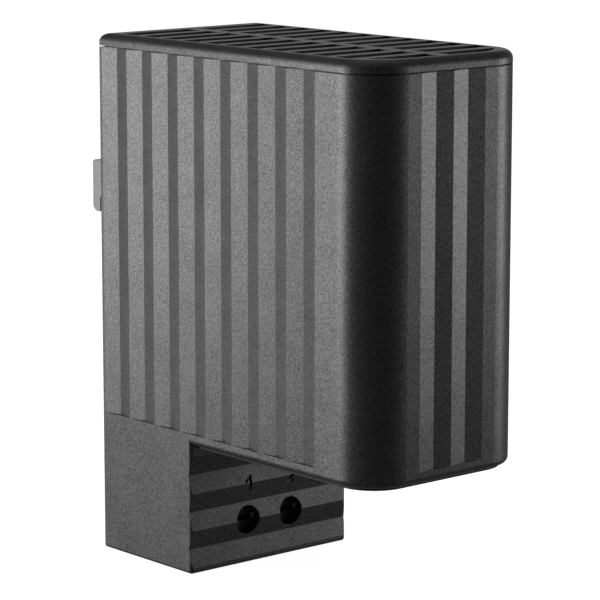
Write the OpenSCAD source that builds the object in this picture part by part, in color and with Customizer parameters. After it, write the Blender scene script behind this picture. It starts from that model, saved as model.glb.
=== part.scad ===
// Compact enclosure heater for a 35 mm top-hat rail: a ribbed plastic duct round a finned heating
// profile, with a terminal box under its rear and a rail clip on its back.
// Origin: centre of the rail seat. X is to the right, +Y points into the rail, +Z is up.

/* [Housing] */
// Height from the underside of the terminal box to the top grille
overall_h = 98; // [90:1:120]
// Width across the side walls
body_w = 38; // [36:1:50]
// Depth from the front wall to the back wall
body_d = 75; // [70:1:100]
// Radius of the two upright front corners
corner_r = 8.5; // [5:0.5:12]
// Thickness of the housing walls
wall = 2; // [1.8:0.1:2.4]
// Height of the duct's lower edge above the underside of the terminal box
duct_base_h = 24.3; // [22:0.1:30]
// Height of the plain lip below the ribs
lip_h = 2.2; // [2:0.1:5]
// Rounding of the lip's lower edge
lip_edge_r = 1.2; // [0.4:0.1:1.2]
// Thickness of the floor between the terminal box and the duct
floor_t = 2; // [1.5:0.1:3]

/* [Ribs] */
// Distance between the grooves of the side and front walls
rib_pitch = 7.5; // [6:0.1:7.6]
// Depth of the grooves in the side walls
side_rib_depth = 0.7; // [0.3:0.05:0.8]
// Depth of the grooves in the front wall
front_rib_depth = 0.45; // [0.3:0.05:0.7]
// Distance from the back wall to the first groove
side_rib_start = 4.45; // [4:0.05:6]
// Number of grooves in each side wall
side_rib_count = 8; // [4:1:8]
// Number of grooves in the front wall
front_rib_count = 2; // [1:1:2]

/* [Terminal box] */
// Depth of the terminal box from the back wall
box_d = 26.2; // [25.5:0.1:32]
// Radius of its two upright front corners
box_corner_r = 0.7; // [0.6:0.05:1]
// Rounding of its lower edge
box_edge_r = 0.55; // [0.3:0.05:0.55]
// Distance between the level grooves in its front wall
box_rib_pitch = 7; // [6:0.1:7.2]
// Depth of the level grooves
box_rib_depth = 0.6; // [0.3:0.05:0.8]
// Number of level grooves
box_rib_count = 3; // [1:1:3]
// Height of the screws above the underside
pole_h = 8.1; // [7.8:0.1:9.5]
// Distance between the two poles
pole_pitch = 10.4; // [10:0.1:11]
// Diameter of the screwdriver holes in the front wall
driver_hole_d = 5.5; // [5:0.1:6.2]
// Height of the pole numerals
numeral_h = 3; // [2:0.1:3.4]
// Depth of the pole numerals below the rib crest
numeral_depth = 0.5; // [0.3:0.05:0.7]
// Thickness of the cover under the box
cover_t = 2; // [1.8:0.1:2.5]
// Width of the wall left outside the cover
cover_rim = 1.2; // [0.9:0.1:1.4]
// Diameter of the wire entries in the cover
wire_entry_d = 5; // [4:0.1:5.4]

/* [Grilles] */
// Height of the top grille's edge above the seam
cap_h = 2.5; // [2.5:0.1:4]
// Height of the shadow groove at that seam
seam_groove = 0.25; // [0.1:0.05:0.4]
// Depth of the shadow groove
seam_depth = 0.8; // [0.2:0.1:1]
// Rounding of the top grille's upper edge
cap_edge_r = 1.6; // [0.8:0.1:2]
// Distance between the slots
slot_pitch = 5.87; // [5:0.01:7]
// Width of a slot
slot_w = 3.7; // [2.5:0.1:4]
// Distance from the back wall to the middle of the first slot
slot_start = 6.25; // [5:0.05:8]
// Margin between the side wall's face and the slots
slot_margin = 2.2; // [2:0.1:4]
// Rounding of the slotted field's front corners
slot_corner_r = 9; // [6:0.5:12]
// Width of the rib along the middle of the slots
middle_rib_w = 2.4; // [1.6:0.1:4]
// Height of the grilles' spigots inside the housing
spigot_h = 4.5; // [4:0.1:6]
// Wall of the spigots
spigot_t = 1.6; // [1.2:0.1:2]
// Radius of the spigots' snap beads
bead_r = 0.5; // [0.3:0.05:0.6]
// Length of the snap beads
bead_l = 24; // [10:1:30]
// Thickness of the inlet grille's rim below the lip
rim_t = 0.5; // [0.5:0.1:1.5]
// Distance of that rim from the lip's face
rim_inset = 1.6; // [0.9:0.1:1.7]

/* [Heater] */
// Height of the heating profile
profile_h = 44; // [36:1:48]
// Gap between the inlet grille and the leads above it
lead_gap = 1; // [0.6:0.1:3]
// Thickness of the profile's spine
spine_t = 2.6; // [2:0.1:3.4]
// Thickness of a fin
fin_t = 1.2; // [0.8:0.1:1.6]
// Distance between the fins
fin_pitch = 4.6; // [4:0.1:6]
// Gap between the fin tips and the side walls
fin_gap = 2; // [1.5:0.1:4]
// Wall of the chamber round the heating elements
chamber_wall = 1.6; // [1.2:0.1:2.4]
// Width of a heating element
ptc_w = 22; // [16:1:26]
// Height of a heating element
ptc_h = 19; // [12:0.5:20]
// Thickness of a heating element
ptc_t = 2.2; // [1.6:0.1:3]
// Thickness of a contact plate
plate_t = 0.6; // [0.4:0.05:0.8]
// Wall of the insulating sleeve
sleeve_t = 0.3; // [0.2:0.05:0.5]
// Thickness of the clamping wedge
wedge_t = 1.4; // [1:0.1:2]
// Thickness of the moulded guides that hold the profile
guide_t = 1.6; // [1.2:0.1:2.4]
// Reach of the guides into the duct
guide_l = 4; // [3:0.1:5]
// Diameter of the inner leads
lead_d = 2; // [1.4:0.1:2.2]
// Bend radius of the inner leads
lead_bend_r = 4; // [3:0.1:4.4]

/* [Terminals] */
// Diameter of the clamping screws
screw_d = 3; // [2.5:0.1:3.2]
// Diameter of the screw heads
screw_head_d = 6.4; // [6.3:0.1:6.6]
// Thickness of the screw heads
screw_head_t = 2; // [1.6:0.1:2.2]
// Width of the driver slot
driver_slot_w = 1; // [0.8:0.1:1.2]
// Travel of a clamp from open to closed
clamp_travel = 2.5; // [1.5:0.1:2.8]
// Width of a clamp cage
cage_w = 6.4; // [6.2:0.1:6.6]
// Height of a clamp cage
cage_h = 6; // [5:0.1:6.4]
// Thickness of the cage's side and back walls
cage_t = 1; // [0.8:0.1:1.1]
// Thickness of the cage's threaded front
cage_front_t = 2; // [1.6:0.1:2.2]
// Thickness of a current bar
bar_t = 1; // [0.8:0.1:1.2]
// Room for the wire in an open clamp
wire_room = 3.6; // [3:0.1:3.8]
// Walls of the terminal block
block_wall = 1.5; // [1.2:0.1:1.6]

/* [Rail clip] */
// Height of the rail that the clip fits
rail_h = 35; // [34:0.5:36]
// Width of the clip
clip_w = 32; // [28:0.5:34]
// Thickness of the clip's plate
clip_t = 3; // [2.6:0.1:4]
// Slot behind the hooks for the rail's edge
rail_slot = 1.3; // [1.2:0.1:1.6]
// Thickness of the hooks' lips
hook_t = 2.3; // [1.8:0.1:3]
// Height of the fixed hook above the rail's edge
hook_h = 7.3; // [5:0.1:9]
// Overlap of the hooks behind the rail's edge
hook_grip = 2.8; // [2:0.1:3]
// Width of the sprung foot
foot_w = 15; // [12:0.5:16]
// Height of the foot below the rail's edge
foot_h = 9; // [8:0.1:10]
// Thickness of the leaves that carry the foot
leaf_t = 1.2; // [0.8:0.1:1.6]
// Diameter of the clip screws
clip_screw_d = 2.9; // [2.5:0.1:3.2]
// Length of the clip screws
clip_screw_l = 8; // [7:0.1:9]

/* [Fits] */
// Gap round a piece that sits in another
fit_gap = 0.15; // [0.1:0.01:0.25]
// Gap round a piece that moves past another
move_gap = 0.3; // [0.25:0.01:0.35]
// Radial gap of a screw in its hole
run_gap = 0.08; // [0.05:0.01:0.1]

/* [Hidden] */
$fn = 64;
// Length by which a cutting shape passes the face that it cuts
cut = 0.5;

half_w = body_w / 2;
base_z = -overall_h / 2;
top_z = overall_h / 2;
back_y = -clip_t;
front_y = back_y - body_d;
duct_z = base_z + duct_base_h;
floor_z = duct_z + floor_t;
rib_z = duct_z + lip_h;
seam_z = top_z - cap_h;
back_in_y = back_y - wall;
front_in_y = front_y + wall;
in_w = half_w - wall;

box_front_y = back_y - box_d;
box_in_y = box_front_y + wall;
pole_z = base_z + pole_h;
numeral_z = pole_z + box_rib_pitch;

// The chain of pieces behind the terminal box's front wall, from front to back
head_y = box_in_y + move_gap;
shoulder_y = head_y + screw_head_t + move_gap;
cage_closed_y = shoulder_y + block_wall + move_gap;
cage_y = cage_closed_y + clamp_travel;
bar_y = cage_y + cage_front_t + move_gap;
wire_y = bar_y + bar_t + wire_room / 2;
cage_window = move_gap + bar_t + wire_room;
cage_l = cage_front_t + cage_window + cage_t;
block_end_y = cage_y + cage_l + move_gap + block_wall;
cage_room_h = cage_h + 2 * move_gap;
block_z = base_z + cover_t + fit_gap;
block_top_z = pole_z + cage_room_h / 2 + block_wall;
block_half_w = pole_pitch / 2 + cage_w / 2 + move_gap + block_wall;
bar_w = cage_w - 2 * cage_t - 2 * move_gap;

// Crimp barrels hold the lead's two ends
crimp_l = 4;
crimp_t = 0.6;
crimp_r = lead_d / 2 + fit_gap / 3 + crimp_t;
bar_rise = 3;
bar_top_z = block_top_z + bar_rise;

// The leads cross the duct above the inlet grille, and the profile stands above their crimps
tab_w = 4;
tab_drop = 4;
lead_z = duct_z + spigot_h + lead_gap + lead_d / 2;
profile_z = lead_z + lead_bend_r + crimp_l + tab_drop;
profile_top_z = profile_z + profile_h;

// Screws and bosses of the cover under the box
cover_screw_d = 2.5;
cover_screw_l = 8;
boss_r = 2.8;
cover_boss_x = in_w - boss_r + cut / 2;
cover_boss_y = (box_in_y + back_in_y) / 2;

spine_back_y = back_in_y - 2 * fit_gap;
spine_front_y = front_in_y + 2 * fit_gap;
spine_mid_y = (spine_back_y + spine_front_y) / 2;
boss_end = 1.5;
clip_boss_l = clip_screw_l - clip_t - wall + boss_end;
fin_end_gap = 1;
fin_clear = max(guide_l, clip_boss_l) + fin_end_gap;
fin_half_l = (spine_back_y - spine_front_y) / 2 - fin_clear;
fin_side_count = floor((fin_half_l - fin_t / 2) / fin_pitch);

// The stack in the chamber, from left to right, with a thin gap at each layer
layer_gap = fit_gap / 3;
sleeve_in_w = ptc_t + 2 * plate_t + 4 * layer_gap;
sleeve_w = sleeve_in_w + 2 * sleeve_t;
chamber_w = sleeve_w + wedge_t + 3 * layer_gap;
sleeve_x = -chamber_w / 2 + layer_gap;
plate_1_x = sleeve_x + sleeve_t + layer_gap;
ptc_x = plate_1_x + plate_t + layer_gap;
plate_2_x = ptc_x + ptc_t + layer_gap;
wedge_x = sleeve_x + sleeve_w + layer_gap;
sleeve_l = ptc_w + 2 * (sleeve_t + layer_gap);
chamber_l = sleeve_l + 2 * layer_gap;

// The clip: the fixed hook is above the rail, the sprung foot below it
rail_edge_z = rail_h / 2 + fit_gap;
hook_top_z = rail_edge_z + hook_h;
hook_tip_y = rail_slot + hook_t;
hook_edge_r = 0.8;
hook_top_r = 0.3;
hook_fall = 0.4;
seat_relief = 0.6;
seat_z = rail_edge_z - hook_grip - seat_relief;
seat_step = 0.1;
clip_base_z = -rail_edge_z - foot_h;
clip_screw_edge = 5;
clip_screw_x = clip_w / 2 - clip_screw_edge;
clip_screw_z = seat_z - clip_screw_edge;
screw_head_ratio = 2;
recess_ratio = 0.8;
release_ratio = 0.4;
foot_ramp = foot_h / 3;
leaf_step = foot_h / 3;
release_rise = foot_h / 5;
release_h = foot_h / 6;

// Numerals: the width of a stroke, and the radius of a bowl
stroke = numeral_h / 5;
bowl_ratio = 0.3;
bowl_r = numeral_h * bowl_ratio;

inlet_l = box_front_y - front_in_y;
inlet_slot_count = floor((inlet_l - 2 * (fit_gap + spigot_t) - slot_w) / slot_pitch) + 1;

housing_colour = [0.17, 0.17, 0.18];
clip_colour = [0.36, 0.36, 0.37];
metal_colour = [0.72, 0.72, 0.74];
dark_metal_colour = [0.24, 0.24, 0.25];
brass_colour = [0.78, 0.62, 0.32];

// Shared shapes

// Plan of the housing, moved inwards by inset, with front corners of radius r
module plan(inset = 0, r = corner_r) {
    w = half_w - inset;
    y0 = front_y + inset;
    y1 = back_y - inset;
    for (side = [-1, 1])
        translate([side * (w - r), y0 + r]) circle(r);
    translate([-w, y0 + r]) square([2 * w, y1 - y0 - r]);
    translate([-(w - r), y0]) square([2 * (w - r), r + cut]);
}

module inner_plan(inset) {
    plan(inset, corner_r - inset);
}

// Profile of a slab whose two upper edges are rounded: width w, height h, edge radius r
module crowned_profile(w, h, r) {
    translate([-w / 2, 0]) square([w, h - r]);
    translate([-w / 2 + r, 0]) square([w - 2 * r, h]);
    intersection() {
        for (side = [-1, 1])
            translate([side * (w / 2 - r), h - r]) circle(r);
        translate([-w / 2, 0]) square([w, h]);
    }
}

// Slab from the back wall to y0, as wide as the housing, of height h: its front corners have the
// radius corner, and its upper edge is rounded by r all round
module crowned_slab(h, r, y0 = front_y, corner = corner_r) {
    depth = back_y - y0;
    mid_y = (y0 + back_y) / 2;
    for (side = [-1, 1])
        translate([side * (half_w - corner), y0 + corner, 0])
            rotate_extrude()
                intersection() {
                    crowned_profile(2 * corner, h, r);
                    square([corner + cut, h + cut]);
                }
    translate([-(half_w - corner), mid_y, 0])
        rotate([90, 0, 90])
            linear_extrude(body_w - 2 * corner) crowned_profile(depth, h, r);
    intersection() {
        translate([0, back_y, 0])
            rotate([90, 0, 0])
                linear_extrude(depth - corner) crowned_profile(body_w, h, r);
        translate([-half_w, mid_y, 0])
            rotate([90, 0, 90])
                linear_extrude(body_w) crowned_profile(depth, h, r);
    }
}

// Row of V grooves below the line y = 0, from x = start on, with their depths in a list
module groove_row(start, pitch, depths) {
    last_x = start + pitch * len(depths);
    valleys = [for (i = [0 : len(depths) - 1])
        each [[start + pitch * (i + 0.5), -depths[i]], [start + pitch * (i + 1), 0]]];
    polygon(concat([[last_x, cut], [start, cut], [start, 0]], valleys));
}

module upright_grooves() {
    side_depths = [for (i = [1 : side_rib_count]) side_rib_depth];
    front_depths = [for (i = [1 : front_rib_count]) front_rib_depth];
    for (side = [0, 1])
        mirror([side, 0])
            translate([half_w, back_y])
                rotate(-90) groove_row(side_rib_start - rib_pitch / 2, rib_pitch, side_depths);
    translate([0, front_y])
        mirror([0, 1]) groove_row(-front_rib_count * rib_pitch / 2, rib_pitch, front_depths);
}

module level_grooves() {
    depths = [for (i = [1 : box_rib_count]) box_rib_depth];
    translate([-half_w - cut, box_front_y, pole_z - box_rib_pitch])
        rotate([0, -90, 180])
            linear_extrude(body_w + 2 * cut) groove_row(0, box_rib_pitch, depths);
}

module along_y(x, y, z) {
    translate([x, y, z]) rotate([-90, 0, 0]) children();
}

module each_pole() {
    for (side = [-1, 1])
        translate([side * pole_pitch / 2, 0, 0]) children();
}

module each_cover_screw() {
    for (side = [-1, 1])
        translate([side * cover_boss_x, cover_boss_y, 0]) children();
}

module each_clip_screw() {
    for (side = [-1, 1], level = [-1, 1])
        translate([side * clip_screw_x, 0, level * clip_screw_z]) children();
}

// Countersunk screw with its head's face at z = 0 and its shank upwards
module countersunk_screw(d, l) {
    head_d = d * screw_head_ratio;
    head_t = (head_d - d) / 2;
    recess_l = head_d * recess_ratio;
    recess_w = d / 4;
    difference() {
        union() {
            cylinder(h = head_t, d1 = head_d, d2 = d);
            cylinder(h = l, d = d);
        }
        for (turn = [0, 90])
            rotate(turn)
                translate([-recess_l / 2, -recess_w / 2, -cut]) cube([recess_l, recess_w, cut + head_t / 2]);
    }
}

// Countersunk hole for such a screw, through a plate of thickness t
module countersunk_hole(d, t) {
    head_d = d * screw_head_ratio + 2 * fit_gap;
    hole_d = d + 2 * fit_gap;
    cylinder(h = (head_d - hole_d) / 2, d1 = head_d, d2 = hole_d);
    translate([0, 0, -cut]) cylinder(h = t + 2 * cut, d = hole_d);
    translate([0, 0, -cut]) cylinder(h = cut, d = head_d);
}

// Numerals, standing on the x axis; the stem of the 1 is right of its middle
module numeral_1() {
    polygon([
        [stroke / 2, 0], [stroke * 1.5, 0], [stroke * 1.5, numeral_h],
        [stroke * 0.6, numeral_h], [-stroke * 1.2, numeral_h - stroke * 1.6],
        [-stroke * 1.2, numeral_h - stroke * 2.6], [stroke / 2, numeral_h - stroke * 1.4]
    ]);
}

module numeral_2() {
    bowl_z = numeral_h - bowl_r;
    translate([0, bowl_z])
        difference() {
            circle(bowl_r);
            circle(bowl_r - stroke);
            polygon([[0, 0], [-2 * bowl_r, 0], [-2 * bowl_r, -2 * bowl_r], [bowl_r, -2 * bowl_r]]);
        }
    polygon([
        [-bowl_r, stroke / 2], [-bowl_r + stroke, stroke / 2],
        [bowl_r * 0.75, bowl_z - bowl_r * 0.65], [bowl_r * 0.2, bowl_z - bowl_r * 0.35]
    ]);
    translate([-bowl_r, 0]) square([2 * bowl_r, stroke]);
}

// Housing

// Upright channel for one end of the profile's spine, standing on the line y = 0
module spine_guide() {
    inner = spine_t / 2 + fit_gap;
    for (side = [0, 1])
        mirror([side, 0, 0])
            translate([inner, -cut, floor_z - cut])
                cube([guide_t, guide_l + cut, profile_top_z - floor_z + cut]);
    translate([-inner - cut, -cut, floor_z - cut])
        cube([2 * (inner + cut), guide_l + cut, profile_z - floor_z + cut - fit_gap]);
}

module housing_solid() {
    translate([0, 0, rib_z])
        linear_extrude(seam_z - rib_z)
            difference() {
                plan();
                upright_grooves();
            }
    translate([0, 0, rib_z]) mirror([0, 0, 1]) crowned_slab(lip_h, lip_edge_r);
    translate([0, 0, rib_z])
        mirror([0, 0, 1]) crowned_slab(rib_z - base_z, box_edge_r, box_front_y, box_corner_r);
}

module housing_spaces() {
    translate([0, 0, floor_z]) linear_extrude(overall_h) inner_plan(wall);
    translate([0, 0, duct_z - cut])
        linear_extrude(floor_t + 2 * cut)
            intersection() {
                inner_plan(wall);
                translate([-half_w, front_y]) square([body_w, box_front_y - front_y]);
            }
    translate([-in_w, box_in_y, base_z - cut])
        cube([2 * in_w, back_in_y - box_in_y, duct_z - base_z + cut]);
    translate([-half_w + cover_rim, box_front_y + cover_rim, base_z - cut])
        cube([body_w - 2 * cover_rim, box_d - 2 * cover_rim, cover_t + cut]);
    level_grooves();
}

module housing_bosses() {
    translate([0, front_in_y, 0]) spine_guide();
    translate([0, back_in_y, 0]) mirror([0, 1, 0]) spine_guide();
    each_cover_screw()
        translate([0, 0, base_z + cover_t])
            cylinder(h = duct_z - base_z - cover_t + cut, r = boss_r);
    each_clip_screw()
        along_y(0, back_in_y - clip_boss_l, 0) cylinder(h = clip_boss_l + cut, r = boss_r);
    each_pole()
        translate([-guide_t / 2, block_end_y + fit_gap, block_z])
            cube([guide_t, back_y - wall / 2 - block_end_y - fit_gap, duct_z - block_z + cut]);
}

module housing_holes() {
    each_pole() {
        along_y(0, box_front_y - cut, pole_z) cylinder(h = wall + 2 * cut, d = driver_hole_d);
        translate([0, bar_y + bar_t / 2, duct_z - cut])
            cylinder(h = floor_t + 2 * cut, r = crimp_r);
    }
    for (side = [-1, 1])
        translate([side * pole_pitch / 2, box_front_y + numeral_depth, numeral_z - numeral_h / 2])
            rotate([90, 0, 0])
                linear_extrude(numeral_depth + cut) {
                    if (side < 0) numeral_1();
                    else numeral_2();
                }
    each_cover_screw()
        translate([0, 0, base_z + cover_t - cut])
            cylinder(h = cover_screw_l - cover_t + 2 * cut, d = cover_screw_d + 2 * layer_gap);
    each_clip_screw()
        along_y(0, -clip_screw_l - cut, 0)
            cylinder(h = clip_screw_l, d = clip_screw_d + 2 * layer_gap);
    for (side = [-1, 1]) {
        along_y(side * in_w, spine_mid_y - bead_l / 2 - fit_gap, seam_z - spigot_h / 2)
            cylinder(h = bead_l + 2 * fit_gap, r = bead_r + fit_gap);
        along_y(side * in_w, inlet_bead_y() - fit_gap, duct_z + spigot_h / 2)
            cylinder(h = inlet_bead_l() + 2 * fit_gap, r = bead_r + fit_gap);
    }
}

module housing() {
    color(housing_colour)
        difference() {
            union() {
                difference() {
                    housing_solid();
                    housing_spaces();
                }
                housing_bosses();
            }
            housing_holes();
        }
}

// Grilles

function inlet_bead_l() = min(bead_l, inlet_l - 2 * corner_r);
function inlet_bead_y() = (box_front_y + front_in_y - inlet_bead_l()) / 2;

module slot_field(count) {
    for (i = [0 : count - 1], side = [0, 1])
        mirror([side, 0])
            translate([middle_rib_w / 2, -i * slot_pitch - slot_w / 2]) square([half_w, slot_w]);
}

module spigot_ring(inset) {
    difference() {
        inner_plan(inset);
        inner_plan(inset + spigot_t);
    }
}

// Post of the top grille that holds the profile down in its guide
module hold_down_post() {
    translate([-spine_t / 2, 0, profile_top_z + move_gap])
        cube([spine_t, guide_l, seam_z - profile_top_z - move_gap + cut]);
}

module top_grille() {
    spigot_x = in_w - fit_gap;
    color(housing_colour) {
        difference() {
            union() {
                translate([0, 0, seam_z + seam_groove]) crowned_slab(cap_h - seam_groove, cap_edge_r);
                translate([0, 0, seam_z]) linear_extrude(cap_h / 2) inner_plan(seam_depth);
            }
            translate([0, 0, seam_z - cut])
                linear_extrude(cap_h + 2 * cut)
                    intersection() {
                        plan(slot_margin, slot_corner_r);
                        translate([0, back_y - slot_start])
                            slot_field(floor((body_d - slot_start - slot_margin) / slot_pitch) + 1);
                    }
        }
        translate([0, 0, seam_z - spigot_h]) linear_extrude(spigot_h + cut) spigot_ring(wall + fit_gap);
        for (side = [-1, 1])
            along_y(side * spigot_x, spine_mid_y - bead_l / 2, seam_z - spigot_h / 2)
                cylinder(h = bead_l, r = bead_r);
        translate([0, front_in_y + 2 * fit_gap, 0]) hold_down_post();
        translate([0, back_in_y - 2 * fit_gap - guide_l, 0]) hold_down_post();
    }
}

// Plan of the air inlet ahead of the terminal box, moved inwards by inset
module inlet_plan(inset) {
    intersection() {
        inner_plan(inset);
        translate([-half_w, front_y]) square([body_w, box_front_y - front_y - fit_gap]);
    }
}

module inlet_grille() {
    first_slot_y = box_front_y - (inlet_l - (inlet_slot_count - 1) * slot_pitch) / 2;
    color(housing_colour) {
        difference() {
            union() {
                translate([0, 0, duct_z - rim_t]) linear_extrude(rim_t) inlet_plan(rim_inset);
                translate([0, 0, duct_z - rim_t])
                    linear_extrude(spigot_h + rim_t) inlet_plan(wall + fit_gap);
            }
            translate([0, 0, duct_z + rim_t])
                linear_extrude(spigot_h)
                    intersection() {
                        inlet_plan(wall + fit_gap + spigot_t);
                        translate([-half_w, front_y])
                            square([body_w, box_front_y - front_y - fit_gap - spigot_t]);
                    }
            translate([0, 0, duct_z - rim_t - cut])
                linear_extrude(2 * rim_t + 2 * cut)
                    intersection() {
                        inlet_plan(wall + fit_gap + spigot_t);
                        translate([0, first_slot_y]) slot_field(inlet_slot_count);
                    }
            translate([-spine_t / 2 - guide_t - 2 * fit_gap, front_y, floor_z - fit_gap - cut])
                cube([spine_t + 2 * guide_t + 4 * fit_gap, wall + guide_l + fit_gap, overall_h]);
        }
        for (side = [-1, 1])
            along_y(side * (in_w - fit_gap), inlet_bead_y(), duct_z + spigot_h / 2)
                cylinder(h = inlet_bead_l(), r = bead_r);
    }
}

// Terminal box

module terminal_cover() {
    edge = cover_rim + fit_gap;
    color(housing_colour)
        difference() {
            translate([-half_w + edge, box_front_y + edge, base_z])
                cube([body_w - 2 * edge, box_d - 2 * edge, cover_t]);
            each_pole()
                translate([0, wire_y, base_z - cut]) cylinder(h = cover_t + 2 * cut, d = wire_entry_d);
            each_cover_screw()
                translate([0, 0, base_z]) countersunk_hole(cover_screw_d, cover_t);
        }
}

module cover_screws() {
    color(metal_colour)
        each_cover_screw()
            translate([0, 0, base_z + layer_gap]) countersunk_screw(cover_screw_d, cover_screw_l);
}

module terminal_block() {
    room_w = cage_w + 2 * move_gap;
    color([0.85, 0.84, 0.8])
        difference() {
            translate([-block_half_w, box_in_y + layer_gap, block_z])
                cube([2 * block_half_w, block_end_y - box_in_y - layer_gap, block_top_z - block_z]);
            each_pole() {
                along_y(0, box_in_y - cut, pole_z)
                    cylinder(h = shoulder_y - box_in_y + cut, d = screw_head_d + 2 * move_gap);
                along_y(0, shoulder_y - cut, pole_z)
                    cylinder(h = block_wall + 2 * cut, d = screw_d + 2 * run_gap);
                translate([-room_w / 2, shoulder_y + block_wall, pole_z - cage_room_h / 2])
                    cube([room_w, cage_y + cage_l + move_gap - shoulder_y - block_wall, cage_room_h]);
                translate([-bar_w / 2 - fit_gap, bar_y - fit_gap, pole_z])
                    cube([bar_w + 2 * fit_gap, bar_t + 2 * fit_gap, overall_h]);
                translate([0, wire_y, block_z - cut])
                    cylinder(h = pole_z - block_z, d = wire_room + 2 * fit_gap);
            }
        }
}

// Current bar of one pole, with the crimp for its lead on top
module current_bar() {
    stub_z = pole_z - cage_h / 2 + move_gap;
    color(brass_colour)
        difference() {
            union() {
                translate([-bar_w / 2, bar_y, stub_z]) cube([bar_w, bar_t, bar_top_z + cut - stub_z]);
                translate([0, bar_y + bar_t / 2, bar_top_z]) cylinder(h = crimp_l, r = crimp_r);
            }
            translate([0, bar_y + bar_t / 2, bar_top_z + cut])
                cylinder(h = crimp_l, d = lead_d + 2 * layer_gap);
        }
}

module current_bar_1() translate([-pole_pitch / 2, 0, 0]) current_bar();
module current_bar_2() translate([pole_pitch / 2, 0, 0]) current_bar();

// Cage that the screw draws forwards over the current bar, shown open
module clamp_cage() {
    color(metal_colour)
        difference() {
            translate([-cage_w / 2, cage_y, pole_z - cage_h / 2]) cube([cage_w, cage_l, cage_h]);
            translate([-cage_w / 2 + cage_t, cage_y + cage_front_t, pole_z - cage_h / 2 - cut])
                cube([cage_w - 2 * cage_t, cage_window, cage_h + 2 * cut]);
            along_y(0, cage_y - cut, pole_z)
                cylinder(h = cage_front_t + 2 * cut, d = screw_d + 2 * run_gap);
        }
}

module clamp_cage_1() translate([-pole_pitch / 2, 0, 0]) clamp_cage();
module clamp_cage_2() translate([pole_pitch / 2, 0, 0]) clamp_cage();

module terminal_screw() {
    color(dark_metal_colour)
        difference() {
            union() {
                along_y(0, head_y, pole_z) cylinder(h = screw_head_t, d = screw_head_d);
                along_y(0, head_y, pole_z) cylinder(h = bar_y - move_gap - head_y, d = screw_d);
            }
            translate([-screw_head_d, head_y - cut, pole_z - driver_slot_w / 2])
                cube([2 * screw_head_d, cut + screw_head_t / 2, driver_slot_w]);
        }
}

module terminal_screw_1() translate([-pole_pitch / 2, 0, 0]) terminal_screw();
module terminal_screw_2() translate([pole_pitch / 2, 0, 0]) terminal_screw();

// Heater

module fin_row() {
    for (i = [-fin_side_count : fin_side_count])
        translate([-in_w + fin_gap, spine_mid_y + i * fin_pitch - fin_t / 2])
            square([2 * (in_w - fin_gap), fin_t]);
}

module heating_profile() {
    outer = [chamber_w + 2 * chamber_wall, chamber_l + 2 * chamber_wall];
    color([0.2, 0.2, 0.21])
        translate([0, 0, profile_z])
            linear_extrude(profile_h)
                difference() {
                    union() {
                        translate([-spine_t / 2, spine_front_y]) square([spine_t, spine_back_y - spine_front_y]);
                        translate([-outer.x / 2, spine_mid_y - outer.y / 2]) square(outer);
                        fin_row();
                    }
                    translate([-chamber_w / 2, spine_mid_y - chamber_l / 2]) square([chamber_w, chamber_l]);
                }
}

module insulating_sleeve() {
    color([0.75, 0.45, 0.15])
        translate([sleeve_x, spine_mid_y - sleeve_l / 2, profile_z])
            linear_extrude(profile_h)
                difference() {
                    square([sleeve_w, sleeve_l]);
                    translate([sleeve_t, sleeve_t]) square([sleeve_w - 2 * sleeve_t, sleeve_l - 2 * sleeve_t]);
                }
}

// Contact plate at x, with a tab that turns outwards below the profile and ends in a crimp
module contact_plate(x, side) {
    plate_l = ptc_w - 2 * layer_gap;
    foot_z = profile_z - tab_drop;
    crimp_x = side * pole_pitch / 2;
    foot_x = min(x, crimp_x);
    color(brass_colour)
        difference() {
            union() {
                translate([x, spine_mid_y - plate_l / 2, profile_z + fit_gap])
                    cube([plate_t, plate_l, profile_h - 2 * fit_gap]);
                translate([x, spine_mid_y - tab_w / 2, foot_z]) cube([plate_t, tab_w, tab_drop + cut]);
                translate([foot_x, spine_mid_y - tab_w / 2, foot_z])
                    cube([max(x + plate_t, crimp_x) - foot_x, tab_w, plate_t]);
                translate([crimp_x, spine_mid_y, foot_z + plate_t - crimp_l])
                    cylinder(h = crimp_l, r = crimp_r);
            }
            translate([crimp_x, spine_mid_y, foot_z - crimp_l])
                cylinder(h = crimp_l, d = lead_d + 2 * layer_gap);
        }
}

module contact_plate_1() contact_plate(plate_1_x, -1);
module contact_plate_2() contact_plate(plate_2_x, 1);

module ptc_stone(z) {
    color([0.45, 0.4, 0.36])
        translate([ptc_x, spine_mid_y - ptc_w / 2 + layer_gap, z])
            cube([ptc_t, ptc_w - 2 * layer_gap, ptc_h]);
}

module ptc_upper() ptc_stone(profile_z + profile_h / 2 + fit_gap);
module ptc_lower() ptc_stone(profile_z + profile_h / 2 - fit_gap - ptc_h);

module clamping_wedge() {
    color(metal_colour)
        translate([wedge_x, spine_mid_y - ptc_w / 2, profile_z])
            cube([wedge_t, ptc_w, profile_h]);
}

// Lead from a current bar up through the floor, forwards, and up to the contact plate
module lead() {
    start_y = bar_y + bar_t / 2;
    run = start_y - spine_mid_y;
    start_z = bar_top_z + cut + layer_gap;
    end_z = profile_z - tab_drop - layer_gap;
    color([0.7, 0.68, 0.62])
        translate([0, start_y, 0]) {
            translate([0, 0, start_z]) cylinder(h = lead_z - lead_bend_r - start_z, d = lead_d);
            translate([0, -lead_bend_r, lead_z - lead_bend_r]) lead_bend(0);
            along_y(0, -run + lead_bend_r, lead_z) cylinder(h = run - 2 * lead_bend_r, d = lead_d);
            translate([0, -run + lead_bend_r, lead_z + lead_bend_r]) lead_bend(180);
            translate([0, -run, lead_z + lead_bend_r])
                cylinder(h = end_z - lead_z - lead_bend_r, d = lead_d);
        }
}

// Quarter bend in the plane x = 0, round its own centre, from the given angle on
module lead_bend(angle) {
    rotate([90, 0, 90])
        rotate(angle)
            rotate_extrude(angle = 90) translate([lead_bend_r, 0]) circle(d = lead_d);
}

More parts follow.
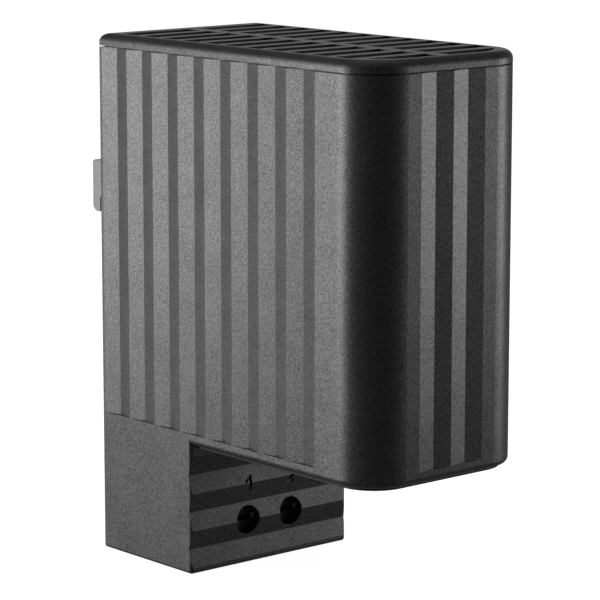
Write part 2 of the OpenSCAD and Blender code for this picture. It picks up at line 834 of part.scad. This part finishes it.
module lead_1() translate([-pole_pitch / 2, 0, 0]) lead();
module lead_2() translate([pole_pitch / 2, 0, 0]) lead();

// Rail clip

// Fixed hook in section: x is the distance behind the seat, y is the height
module hook_section() {
    polygon([
        [-clip_t, seat_z], [-seat_step, seat_z], [-seat_step, rail_edge_z], [rail_slot, rail_edge_z],
        [rail_slot, rail_edge_z - hook_grip], [hook_tip_y - hook_edge_r, rail_edge_z - hook_grip],
        [hook_tip_y, rail_edge_z - hook_grip + hook_edge_r], [hook_tip_y, hook_top_z - hook_fall - hook_top_r],
        [hook_tip_y - hook_top_r, hook_top_z - hook_fall], [-clip_t, hook_top_z]
    ]);
}

// Sprung foot in section, with a ramp that rides over the rail's lower edge
module foot_section() {
    lip_z = -rail_edge_z + hook_grip - hook_edge_r;
    polygon([
        [-clip_t + move_gap, -seat_z - cut], [-seat_step, -seat_z - cut], [-seat_step, -rail_edge_z],
        [rail_slot, -rail_edge_z], [rail_slot, lip_z - hook_edge_r], [rail_slot + hook_edge_r, lip_z],
        [hook_tip_y, lip_z - hook_t], [hook_tip_y, -rail_edge_z - foot_ramp],
        [0, -rail_edge_z - foot_h / 2], [0, clip_base_z], [-clip_t + move_gap, clip_base_z]
    ]);
}

// Extrudes a section of the clip across the width w
module clip_run(w) {
    translate([-w / 2, 0, 0]) rotate([90, 0, 90]) linear_extrude(w) children();
}

module clip_plate() {
    leg_w = (clip_w - foot_w) / 4;
    leg_top_z = -seat_z + cut;
    translate([-clip_w / 2, -clip_t, -seat_z]) cube([clip_w, clip_t, 2 * seat_z]);
    for (side = [0, 1])
        mirror([side, 0, 0]) {
            translate([clip_w / 2 - leg_w, -clip_t, clip_base_z])
                cube([leg_w, clip_t - seat_step, leg_top_z - clip_base_z]);
            for (level = [1 : 2])
                translate([foot_w / 2 - cut, -clip_t + move_gap, -rail_edge_z - level * leaf_step])
                    cube([clip_w / 2 - leg_w - foot_w / 2 + 2 * cut, clip_t - 2 * move_gap, leaf_t]);
        }
}

module rail_clip() {
    release_w = foot_w * release_ratio;
    release_z = clip_base_z + release_rise;
    color(clip_colour)
        difference() {
            union() {
                clip_plate();
                clip_run(clip_w) hook_section();
                clip_run(foot_w) foot_section();
            }
            translate([-foot_w / 2 - cut, -clip_t - cut, -seat_z - leaf_t])
                cube([foot_w + 2 * cut, clip_t + 2 * cut, leaf_t]);
            translate([-release_w / 2, -clip_t - cut, release_z])
                cube([release_w, clip_t + 2 * cut, release_h]);
            each_clip_screw()
                rotate([90, 0, 0]) countersunk_hole(clip_screw_d, clip_t);
        }
}

module clip_screws() {
    color(metal_colour)
        each_clip_screw()
            translate([0, -layer_gap, 0]) rotate([90, 0, 0]) countersunk_screw(clip_screw_d, clip_screw_l);
}

housing();
top_grille();
inlet_grille();
terminal_cover();
cover_screws();
heating_profile();
insulating_sleeve();
contact_plate_1();
contact_plate_2();
ptc_upper();
ptc_lower();
clamping_wedge();
lead_1();
lead_2();
terminal_block();
current_bar_1();
current_bar_2();
clamp_cage_1();
clamp_cage_2();
terminal_screw_1();
terminal_screw_2();
rail_clip();
clip_screws();
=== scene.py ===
import math

import bpy
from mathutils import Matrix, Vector


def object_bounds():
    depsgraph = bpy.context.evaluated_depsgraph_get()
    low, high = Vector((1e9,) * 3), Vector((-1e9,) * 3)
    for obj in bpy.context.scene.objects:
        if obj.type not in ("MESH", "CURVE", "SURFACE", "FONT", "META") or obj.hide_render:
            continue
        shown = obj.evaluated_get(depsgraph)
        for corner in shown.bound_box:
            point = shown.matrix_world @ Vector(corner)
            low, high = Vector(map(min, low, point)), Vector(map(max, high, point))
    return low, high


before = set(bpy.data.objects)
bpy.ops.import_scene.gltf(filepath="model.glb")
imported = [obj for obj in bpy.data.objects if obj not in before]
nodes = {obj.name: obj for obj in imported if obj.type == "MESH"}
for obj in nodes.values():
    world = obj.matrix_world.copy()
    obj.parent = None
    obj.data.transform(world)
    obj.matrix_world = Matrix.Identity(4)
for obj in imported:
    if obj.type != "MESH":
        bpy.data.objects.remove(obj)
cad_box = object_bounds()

# The camera stands in front of the left corner, a little above the heater, and looks down on it.
# A long lens keeps the upright edges nearly parallel.
scene = bpy.context.scene
camera_at = Vector((-0.34197, -0.43438, 0.09593))
camera_turn, camera_fall = math.radians(40.773), math.radians(10.237)
lens_mm, film_mm, nearest = 174.47, 36.0, 0.01
look = Vector((
    math.sin(camera_turn) * math.cos(camera_fall),
    math.cos(camera_turn) * math.cos(camera_fall),
    -math.sin(camera_fall),
))
camera_data = bpy.data.cameras.new("camera")
camera_data.lens = lens_mm
camera_data.sensor_width = film_mm
camera_data.clip_start = nearest
camera = bpy.data.objects.new("camera", camera_data)
camera.location = camera_at
camera.rotation_euler = look.to_track_quat("-Z", "Y").to_euler()
scene.collection.objects.link(camera)
scene.camera = camera

# The studio: a dim room that the camera sees as white, so that the heater stands cut out on white.
# Strip lights on both sides draw the light bands of the ribs, and weaker panels fill in round them.
scene.view_settings.view_transform = "Standard"
studio_centre = Vector((0.0, -0.04, 0.0))
room_grey, room_seen = (0.145, 0.145, 0.147, 1), (1, 1, 1, 1)

world = bpy.data.worlds.new("studio")
scene.world = world
world.use_nodes = True
room = world.node_tree
room.nodes.clear()
room_out = room.nodes.new("ShaderNodeOutputWorld")
room_mix = room.nodes.new("ShaderNodeMixShader")
room_path = room.nodes.new("ShaderNodeLightPath")
room_dim = room.nodes.new("ShaderNodeBackground")
room_white = room.nodes.new("ShaderNodeBackground")
room_dim.inputs["Color"].default_value = room_grey
room_white.inputs["Color"].default_value = room_seen
room.links.new(room_path.outputs["Is Camera Ray"], room_mix.inputs["Fac"])
room.links.new(room_dim.outputs[0], room_mix.inputs[1])
room.links.new(room_white.outputs[0], room_mix.inputs[2])
room.links.new(room_mix.outputs[0], room_out.inputs["Surface"])

# Upright lights, each facing the heater. name: turn from the front towards the left in degrees,
# distance, width, lower edge and upper edge in metres, brightness
softboxes = {
    "left_strip": (124, 0.55, 0.195, -0.120, 0.120, 15.5),
    "left_upper": (128, 0.55, 0.200, 0.125, 0.33, 2.5),
    "left_fill": (151, 0.40, 0.214, -0.18, 0.12, 0.8),
    "right_strip": (-57, 0.40, 0.075, -0.083, 0.095, 11.4),
    "right_flag": (-42, 0.40, 0.140, -0.03, 0.11, 1.3),
    "rear_softbox": (-172, 0.60, 0.300, -0.20, 0.10, 2.0),
    "far_card": (-138, 1.00, 0.600, 0.06, 0.36, 0.35),
}
for name, (turn, distance, width, low, high, brightness) in softboxes.items():
    data = bpy.data.lights.new(name, "AREA")
    data.shape = "RECTANGLE"
    data.size, data.size_y = width, high - low
    data.energy = math.pi * width * (high - low) * brightness
    light = bpy.data.objects.new(name, data)
    turn = math.radians(turn)
    away = Vector((-math.sin(turn), -math.cos(turn), 0.0))
    light.location = studio_centre + away * distance + Vector((0.0, 0.0, (low + high) / 2))
    light.rotation_euler = (-away).to_track_quat("-Z", "Y").to_euler()
    scene.collection.objects.link(light)

# One level light over the heater
overhead_size, overhead_z, overhead_brightness = 0.9, 0.8, 0.4
overhead_data = bpy.data.lights.new("overhead", "AREA")
overhead_data.size = overhead_size
overhead_data.energy = math.pi * overhead_size ** 2 * overhead_brightness
overhead = bpy.data.objects.new("overhead", overhead_data)
overhead.location = studio_centre + Vector((0.0, 0.0, overhead_z))
scene.collection.objects.link(overhead)

# The sheet: white paper that the heater stands on, which shows only to the camera and throws no
# light back on the heater.
sheet_half = 3.0
sheet_z = cad_box[0][2]
paper_grey, paper_rough, paper_glow = (0.5, 0.5, 0.5, 1), 0.9, 0.94
sheet_mesh = bpy.data.meshes.new("white_sheet")
sheet_corners = [(-1, -1), (1, -1), (1, 1), (-1, 1)]
sheet_mesh.from_pydata([(sheet_half * x, sheet_half * y, sheet_z) for x, y in sheet_corners],
                       [], [(0, 1, 2, 3)])
white_paper = bpy.data.materials.new("white_paper")
white_paper.use_nodes = True
paper = white_paper.node_tree.nodes["Principled BSDF"]
paper.inputs["Base Color"].default_value = paper_grey
paper.inputs["Roughness"].default_value = paper_rough
paper.inputs["Emission Color"].default_value = (1, 1, 1, 1)
paper.inputs["Emission Strength"].default_value = paper_glow
sheet_mesh.materials.append(white_paper)
sheet = bpy.data.objects.new("white_sheet", sheet_mesh)
scene.collection.objects.link(sheet)
sheet.visible_glossy = False
sheet.visible_diffuse = False
sheet.visible_shadow = False

# The housing: ribbed duct and terminal box in one black polycarbonate moulding, with a fine
# spark-eroded texture from the mould and edges that the tool leaves slightly round.
mm = 0.001
texture_outputs = [("Height", "NodeSocketFloat"), ("Roughness", "NodeSocketFloat"),
                   ("Tone", "NodeSocketFloat")]


def new_group(name, inputs):
    """A texture group with the named inputs and their values, and its input and output nodes."""
    group = bpy.data.node_groups.new(name, "ShaderNodeTree")
    for label, value in inputs.items():
        socket = group.interface.new_socket(label, in_out="INPUT", socket_type="NodeSocketFloat")
        socket.default_value = value
    for label, kind in texture_outputs:
        group.interface.new_socket(label, in_out="OUTPUT", socket_type=kind)
    return group, group.nodes.new("NodeGroupInput"), group.nodes.new("NodeGroupOutput")


def noise(tree, detail, scale=None):
    """A noise texture in the piece's own space. Without a scale, the caller links one."""
    place = tree.nodes.new("ShaderNodeTexCoord")
    texture = tree.nodes.new("ShaderNodeTexNoise")
    texture.inputs["Detail"].default_value = detail
    tree.links.new(place.outputs["Object"], texture.inputs["Vector"])
    if scale is not None:
        texture.inputs["Scale"].default_value = scale
    return texture


def remap(tree, source, low, high):
    """Maps the range that most of a noise lies in onto low to high, which are values or sockets."""
    noise_low, noise_high = 0.3, 0.7
    node = tree.nodes.new("ShaderNodeMapRange")
    node.inputs["From Min"].default_value = noise_low
    node.inputs["From Max"].default_value = noise_high
    tree.links.new(source, node.inputs["Value"])
    for label, end in (("To Min", low), ("To Max", high)):
        if isinstance(end, float):
            node.inputs[label].default_value = end
        else:
            tree.links.new(end, node.inputs[label])
    return node.outputs["Result"]


def weigh(tree, first, first_part, second, second_part):
    """Adds two values, each times its part."""
    total = tree.nodes.new("ShaderNodeMath")
    total.operation = "ADD"
    for place, (source, part) in enumerate(((first, first_part), (second, second_part))):
        share = tree.nodes.new("ShaderNodeMath")
        share.operation = "MULTIPLY"
        share.inputs[1].default_value = part
        tree.links.new(source, share.inputs[0])
        tree.links.new(share.outputs[0], total.inputs[place])
    return total.outputs[0]


# Spark texture: fine pits of one size over a slow drift in gloss
spark, spark_in, spark_out = new_group(
    "spark_texture", {"Grain": 3600.0, "Rough low": 0.35, "Rough high": 0.43})
pits = noise(spark, 1.0)
spark.links.new(spark_in.outputs["Grain"], pits.inputs["Scale"])
drift = noise(spark, 3.0, 160.0)
pitted = weigh(spark, pits.outputs["Fac"], 0.85, drift.outputs["Fac"], 0.15)
pit_gloss = remap(spark, pitted, spark_in.outputs["Rough low"], spark_in.outputs["Rough high"])
spark.links.new(pits.outputs["Fac"], spark_out.inputs["Height"])
spark.links.new(pit_gloss, spark_out.inputs["Roughness"])
spark.links.new(remap(spark, pitted, 0.0, 1.0), spark_out.inputs["Tone"])


def new_material(name, group, dark, light, relief, settings=None, metallic=0.0, shine=0.5,
                 skin=None, edge=None):
    """A surface whose tone, gloss and relief come from a texture group, with its settings. skin is the
    roughness of a moulded skin that shines between the pits, and edge is the rounding of its edges."""
    material = bpy.data.materials.new(name)
    material.use_nodes = True
    tree = material.node_tree
    shader = tree.nodes["Principled BSDF"]
    shader.inputs["Metallic"].default_value = metallic
    shader.inputs["Specular IOR Level"].default_value = shine
    texture = tree.nodes.new("ShaderNodeGroup")
    texture.node_tree = group
    for label, value in (settings or {}).items():
        texture.inputs[label].default_value = value
    tone = tree.nodes.new("ShaderNodeMix")
    tone.data_type = "RGBA"
    tone.inputs["A"].default_value = (*dark, 1)
    tone.inputs["B"].default_value = (*light, 1)
    tree.links.new(texture.outputs["Tone"], tone.inputs["Factor"])
    tree.links.new(tone.outputs["Result"], shader.inputs["Base Color"])
    tree.links.new(texture.outputs["Roughness"], shader.inputs["Roughness"])
    if skin:
        shader.inputs["Coat Roughness"].default_value = skin
        tree.links.new(texture.outputs["Tone"], shader.inputs["Coat Weight"])
    bump = tree.nodes.new("ShaderNodeBump")
    bump.inputs["Strength"].default_value = 1.0
    bump.inputs["Distance"].default_value = relief
    tree.links.new(texture.outputs["Height"], bump.inputs["Height"])
    if edge:
        rounding = tree.nodes.new("ShaderNodeBevel")
        rounding.inputs["Radius"].default_value = edge
        tree.links.new(rounding.outputs["Normal"], bump.inputs["Normal"])
    tree.links.new(bump.outputs["Normal"], shader.inputs["Normal"])
    return material


def dress(piece, material):
    """Puts one material all over a piece."""
    piece.data.materials.clear()
    piece.data.materials.append(material)


black_plastic = new_material(
    "black_spark_plastic", spark, (0.013, 0.013, 0.014), (0.021, 0.021, 0.022), 0.02 * mm,
    shine=0.2, skin=0.41, edge=0.15 * mm)
dress(nodes["housing"], black_plastic)

# The inlet grille: a slotted plate of black plastic, snapped into the duct from below, where the cold
# air comes in. It is the housing's plastic, given darker tones as painted shade under the lip of the
# duct, and a rougher gloss.
# The darker tones than the housing's are painted shade under the lip of the duct.
painted_shade_plastic = new_material(
    "black_painted_shade_plastic", spark, (0.012, 0.012, 0.013), (0.018, 0.018, 0.019), 0.02 * mm,
    {"Rough low": 0.45, "Rough high": 0.56}, shine=0.2, edge=0.15 * mm)
dress(nodes["inlet_grille"], painted_shade_plastic)

# The heating elements: two pressed and fired ceramic plates with metallised faces. The stack of
# elements, contact plates and sleeve is pushed into the chamber of the heating profile.


def round_edges(name, radius):
    """Rounds the sharp edges of a solid, as its tool or its tumbling does."""
    join_gap, flat_angle, sharp_angle = 0.002 * mm, math.radians(0.4), math.radians(28)
    piece = nodes[name]
    weld = piece.modifiers.new("joined", "WELD")
    weld.merge_threshold = join_gap
    flat = piece.modifiers.new("flat", "DECIMATE")
    flat.decimate_type = "DISSOLVE"
    flat.angle_limit = flat_angle
    edge = piece.modifiers.new("edges", "BEVEL")
    edge.width = radius
    edge.segments = 2
    edge.limit_method = "ANGLE"
    edge.angle_limit = sharp_angle
    edge.use_clamp_overlap = False
    edge.harden_normals = True
    edge.miter_outer = "MITER_ARC"
    return piece


speckle, speckle_in, speckle_out = new_group("fired_speckle", {"Grain": 1400.0})
crystals = speckle.nodes.new("ShaderNodeTexVoronoi")
crystal_place = speckle.nodes.new("ShaderNodeTexCoord")
crystal_size = crystals.outputs["Distance"]
speckle.links.new(crystal_place.outputs["Object"], crystals.inputs["Vector"])
speckle.links.new(speckle_in.outputs["Grain"], crystals.inputs["Scale"])
speckle.links.new(crystal_size, speckle_out.inputs["Height"])
speckle.links.new(remap(speckle, crystal_size, 0.6, 0.8), speckle_out.inputs["Roughness"])
speckle.links.new(remap(speckle, crystal_size, 0.0, 1.0), speckle_out.inputs["Tone"])
fired_ceramic = new_material(
    "fired_ceramic", speckle, (0.24, 0.2, 0.17), (0.36, 0.31, 0.27), 0.02 * mm)
for name in ("ptc_upper", "ptc_lower"):
    dress(round_edges(name, 0.1 * mm), fired_ceramic)

# The contact plates and the current bars: strips stamped from rolled brass, which carry the current
# to the elements. Crimped barrels hold the leads.


def streaks(name, across, along, low, high):
    """Fine lines along z, as rolls or a die leave them, with roughness from low to high."""
    group, group_in, group_out = new_group(name, {})
    place = group.nodes.new("ShaderNodeTexCoord")
    stretch = group.nodes.new("ShaderNodeMapping")
    stretch.inputs["Scale"].default_value = (across, across, along)
    line = group.nodes.new("ShaderNodeTexNoise")
    line.inputs["Scale"].default_value = 1.0
    line.inputs["Detail"].default_value = 2.0
    group.links.new(place.outputs["Object"], stretch.inputs["Vector"])
    group.links.new(stretch.outputs["Vector"], line.inputs["Vector"])
    group.links.new(line.outputs["Fac"], group_out.inputs["Height"])
    group.links.new(remap(group, line.outputs["Fac"], low, high), group_out.inputs["Roughness"])
    group.links.new(remap(group, line.outputs["Fac"], 0.0, 1.0), group_out.inputs["Tone"])
    return group


rolled_lines = streaks("rolled_lines", 1800.0, 60.0, 0.22, 0.4)
rolled_brass = new_material(
    "rolled_brass", rolled_lines, (0.66, 0.47, 0.2), (0.82, 0.63, 0.32), 0.006 * mm, metallic=1.0)
for name in ("contact_plate_1", "contact_plate_2", "current_bar_1", "current_bar_2"):
    dress(round_edges(name, 0.08 * mm), rolled_brass)

# The insulating sleeve: amber polyimide film, wrapped round the elements and their contact plates.
# It keeps the heating profile dead.
amber_film = new_material(
    "amber_film", spark, (0.45, 0.2, 0.03), (0.62, 0.31, 0.06), 0.004 * mm,
    {"Grain": 500.0, "Rough low": 0.2, "Rough high": 0.32})
dress(round_edges("insulating_sleeve", 0.05 * mm), amber_film)

# The heating profile: an aluminium extrusion with upright fins, black anodised after it is sawn to
# length. It drops into guides moulded in the duct, and die lines run along it.
die_lines = streaks("die_lines", 2400.0, 30.0, 0.32, 0.5)
black_anodised = new_material(
    "black_anodised_aluminium", die_lines, (0.02, 0.02, 0.022), (0.05, 0.05, 0.054), 0.01 * mm,
    metallic=0.6)
dress(round_edges("heating_profile", 0.1 * mm), black_anodised)

# The clamping wedge: a bare aluminium plate, sawn from drawn bar. It is pressed into the chamber
# beside the stack, so that the heat goes over into the profile.
drawn_aluminium = new_material(
    "drawn_aluminium", die_lines, (0.62, 0.62, 0.64), (0.8, 0.8, 0.81), 0.01 * mm, metallic=1.0)
dress(round_edges("clamping_wedge", 0.1 * mm), drawn_aluminium)

# The leads: stranded wire in white silicone rubber, led from the current bars through the floor of
# the duct to the contact plates.
white_silicone = new_material(
    "white_silicone", spark, (0.5, 0.48, 0.43), (0.62, 0.6, 0.54), 0.01 * mm,
    {"Grain": 1500.0, "Rough low": 0.5, "Rough high": 0.65})
for name in ("lead_1", "lead_2"):
    dress(nodes[name], white_silicone)

# The terminal block: a pale thermoset moulding that stands inside the terminal box, with a chamber
# for each clamp.
pale_thermoset = new_material(
    "pale_thermoset", spark, (0.6, 0.58, 0.53), (0.7, 0.68, 0.63), 0.012 * mm,
    {"Grain": 1800.0, "Rough low": 0.45, "Rough high": 0.6})
dress(round_edges("terminal_block", 0.1 * mm), pale_thermoset)

# The clamps: zinc plated steel cages that black phosphated screws draw forwards. Each cage slides in
# its chamber of the block, and each screw turns in place behind its hole.
mottle, mottle_in, mottle_out = new_group("plated_mottle", {"Rough low": 0.28, "Rough high": 0.45})
cloud = noise(mottle, 4.0, 700.0)
frost = noise(mottle, 1.0, 6000.0)
frosted = weigh(mottle, cloud.outputs["Fac"], 0.7, frost.outputs["Fac"], 0.3)
frost_gloss = remap(mottle, frosted, mottle_in.outputs["Rough low"], mottle_in.outputs["Rough high"])
mottle.links.new(frost.outputs["Fac"], mottle_out.inputs["Height"])
mottle.links.new(frost_gloss, mottle_out.inputs["Roughness"])
mottle.links.new(remap(mottle, frosted, 0.0, 1.0), mottle_out.inputs["Tone"])
bright_zinc = new_material(
    "bright_zinc", mottle, (0.6, 0.61, 0.63), (0.78, 0.79, 0.81), 0.004 * mm,
    {"Rough low": 0.2, "Rough high": 0.36}, metallic=1.0)
for name in ("clamp_cage_1", "clamp_cage_2"):
    dress(round_edges(name, 0.1 * mm), bright_zinc)
black_phosphate = new_material(
    "black_phosphate", mottle, (0.012, 0.012, 0.013), (0.026, 0.026, 0.027), 0.006 * mm,
    {"Rough low": 0.5, "Rough high": 0.64}, metallic=0.5, shine=0.3)
for name in ("terminal_screw_1", "terminal_screw_2"):
    dress(round_edges(name, 0.1 * mm), black_phosphate)

# The terminal cover: a plate of the housing's plastic with two wire entries. It closes the box from
# below and is held by its own screws.
dress(nodes["terminal_cover"], black_plastic)

# The top grille: a slotted cap of the housing's plastic, snapped in by beads on its spigot.
# Two posts under it hold the heating profile down.
dress(nodes["top_grille"], black_plastic)

# The rail clip: glass-filled polyamide, moulded smooth, with a fixed hook above and a sprung foot
# below. Four screws hold it to the back wall.
grey_polyamide = new_material(
    "grey_polyamide", spark, (0.17, 0.17, 0.173), (0.23, 0.23, 0.233), 0.01 * mm,
    {"Grain": 1600.0, "Rough low": 0.36, "Rough high": 0.46})
dress(round_edges("rail_clip", 0.15 * mm), grey_polyamide)

# The cover and clip screws: countersunk thread-forming steel screws with a cross recess, bright zinc
# plated like the cages. They are driven into plain holes in the housing.
for name in ("cover_screws", "clip_screws"):
    dress(round_edges(name, 0.06 * mm), bright_zinc)
